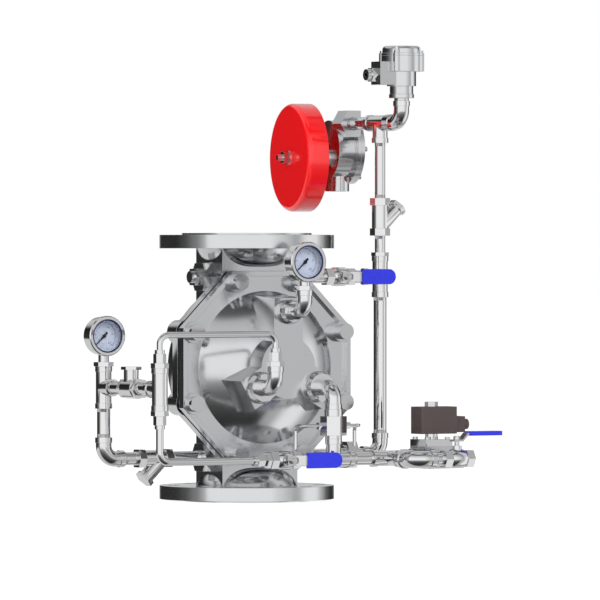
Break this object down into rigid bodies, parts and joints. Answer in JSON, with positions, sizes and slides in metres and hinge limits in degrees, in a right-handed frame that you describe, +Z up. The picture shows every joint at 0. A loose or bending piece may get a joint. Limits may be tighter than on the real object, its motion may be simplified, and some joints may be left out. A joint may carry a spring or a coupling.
{
  "type": "sprinkler alarm valve",
  "caption": "Flanged diaphragm deluge valve with screwed trim: gauges, levers, solenoid, pressure switch and water motor gong.",
  "frame": {"origin": "centre of the inlet flange's raised face", "axes": "+Z up along the flow, -Y towards the cover, +X towards the alarm line"},
  "size_m": [0.6205, 0.5222, 0.743],
  "materials": {
    "polished_steel": "polished stainless steel casting",
    "chrome_fittings": "chromed screwed fittings and pipes",
    "fasteners": "bright steel fasteners",
    "gong_red": "glossy red paint",
    "grip_blue": "glossy blue vinyl sleeve",
    "coil_black": "moulded coil housing, brown black",
    "rubber": "fabric reinforced rubber",
    "dial": "pale blue white dial",
    "glass": "clear window",
    "pointer": "matt black pointer",
    "bronze": "cast bronze impeller and seat",
    "spring_steel": "spring steel"
  },
  "bodies": {
    "valve": {"valve_body": "polished_steel", "valve_cover": "polished_steel", "motor_housing": "polished_steel", "motor_cover": "polished_steel", "pressure_switch_base": "polished_steel", "pressure_switch_cap": "polished_steel", "solenoid_body": "polished_steel", "port_fittings": "chrome_fittings", "cover_elbows": "chrome_fittings", "reducing_bushings": "chrome_fittings", "left_line_fittings": "chrome_fittings", "left_line_pipes": "chrome_fittings", "strainer_bodies": "chrome_fittings", "line_caps": "chrome_fittings", "check_valve_body": "chrome_fittings", "compression_tubes": "chrome_fittings", "compression_nuts": "chrome_fittings", "relief_body": "chrome_fittings", "front_line_fittings": "chrome_fittings", "front_line_pipes": "chrome_fittings", "right_line_fittings": "chrome_fittings", "right_line_pipes": "chrome_fittings", "line_union": "chrome_fittings", "supply_gauge_case": "chrome_fittings", "control_gauge_case": "chrome_fittings", "supply_valve_body": "chrome_fittings", "alarm_valve_body": "chrome_fittings", "release_valve_body": "chrome_fittings", "solenoid_bonnet": "chrome_fittings", "switch_gland": "chrome_fittings", "cover_bolts": "fasteners", "cover_nuts": "fasteners", "housing_screws": "fasteners", "spindle_nuts": "fasteners", "motor_spindle": "fasteners", "gong": "gong_red", "solenoid_coil": "coil_black", "solenoid_connector": "coil_black", "diaphragm": "rubber", "gauge_dials": "dial", "gauge_glasses": "glass", "seat_ring": "bronze", "closing_spring": "spring_steel"},
    "diaphragm_unit": {"diaphragm_plate": "polished_steel"},
    "supply_handle": {"supply_valve_stem": "fasteners", "supply_valve_lever": "fasteners", "supply_valve_grip": "grip_blue"},
    "alarm_handle": {"alarm_valve_stem": "fasteners", "alarm_valve_lever": "fasteners", "alarm_valve_grip": "grip_blue"},
    "release_handle": {"release_valve_stem": "fasteners", "release_valve_lever": "fasteners", "release_valve_grip": "grip_blue"},
    "supply_needle": {"supply_gauge_pointer": "pointer"},
    "control_needle": {"control_gauge_pointer": "pointer"},
    "clapper": {"check_valve_clapper": "fasteners"},
    "relief_slide": {"relief_piston": "fasteners"},
    "solenoid_armature": {"solenoid_plunger": "fasteners"},
    "switch_plunger": {"pressure_switch_plunger": "fasteners"},
    "striker_rotor": {"motor_rotor": "bronze"}
  },
  "joints": [
    {"name": "diaphragm_lift", "type": "slide", "parent": "valve", "child": "diaphragm_unit", "axis": [0, -1, 0], "range_m": [0, 0.018], "stiffness_N_per_m": 3000, "springref_m": -0.01, "deforming": ["closing_spring", "diaphragm"]},
    {"name": "supply_valve_turn", "type": "hinge", "parent": "valve", "child": "supply_handle", "pos_m": [-0.039, -0.188, 0.0715], "axis": [0, -1, 0], "range_deg": [0, 90]},
    {"name": "alarm_valve_turn", "type": "hinge", "parent": "valve", "child": "alarm_handle", "pos_m": [0.173, 0, 0.3645], "axis": [0, 1, 0], "range_deg": [0, 90]},
    {"name": "release_valve_turn", "type": "hinge", "parent": "valve", "child": "release_handle", "pos_m": [0.239, -0.266, 0.0715], "axis": [0, 0, -1], "range_deg": [0, 90]},
    {"name": "supply_gauge_swing", "type": "hinge", "parent": "valve", "child": "supply_needle", "pos_m": [-0.265, 0, 0.27], "axis": [0, 1, 0], "range_deg": [0, 270], "stiffness_Nm_per_rad": 0.002},
    {"name": "control_gauge_swing", "type": "hinge", "parent": "valve", "child": "control_needle", "pos_m": [0, -0.188, 0.389], "axis": [0, 1, 0], "range_deg": [0, 270], "stiffness_Nm_per_rad": 0.002},
    {"name": "clapper_swing", "type": "hinge", "parent": "valve", "child": "clapper", "pos_m": [-0.265, -0.08755, 0.1966], "axis": [-1, 0, 0], "range_deg": [0, 55]},
    {"name": "relief_lift", "type": "slide", "parent": "valve", "child": "relief_slide", "axis": [0, 0, 1], "range_m": [0, 0.004], "stiffness_N_per_m": 800, "springref_m": -0.004},
    {"name": "armature_lift", "type": "slide", "parent": "valve", "child": "solenoid_armature", "axis": [0, 0, 1], "range_m": [0, 0.0035], "stiffness_N_per_m": 600, "springref_m": -0.004},
    {"name": "switch_lift", "type": "slide", "parent": "valve", "child": "switch_plunger", "axis": [0, 0, 1], "range_m": [0, 0.003], "stiffness_N_per_m": 600, "springref_m": -0.004},
    {"name": "striker_spin", "type": "hinge", "parent": "valve", "child": "striker_rotor", "pos_m": [0.2527, 0.14, 0.562], "axis": [-0.9903, 0.1392, 0], "continuous": true}
  ]
}
